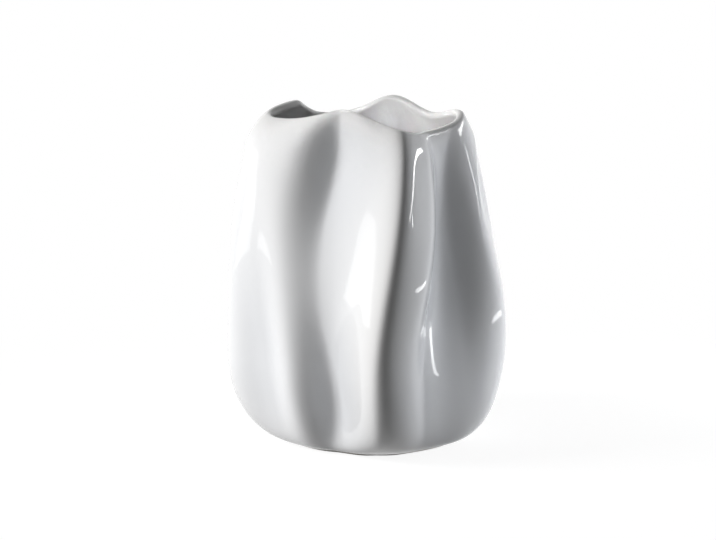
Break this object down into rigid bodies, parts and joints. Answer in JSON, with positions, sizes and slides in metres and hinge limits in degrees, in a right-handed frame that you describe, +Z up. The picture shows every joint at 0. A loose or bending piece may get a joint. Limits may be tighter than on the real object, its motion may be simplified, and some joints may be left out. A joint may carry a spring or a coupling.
{
  "type": "pillow vase",
  "caption": "Squarish full-bellied porcelain flower vase with soft pleats and a wavy rounded lip, gloss glazed inside and out, standing on a bare foot ring.",
  "frame": {"origin": "on the table, under the middle of the vase's box", "axes": "+Z up, -Y out of the broad front face, +X to its right"},
  "size_m": [0.112, 0.122, 0.1546],
  "materials": {
    "bare_porcelain": "fine matt bisque",
    "gloss_glaze": "clear gloss over white"
  },
  "bodies": {
    "root": {"porcelain_body": "bare_porcelain", "outer_glaze": "gloss_glaze", "inner_glaze": "gloss_glaze", "base_glaze": "gloss_glaze"}
  },
  "joints": []
}
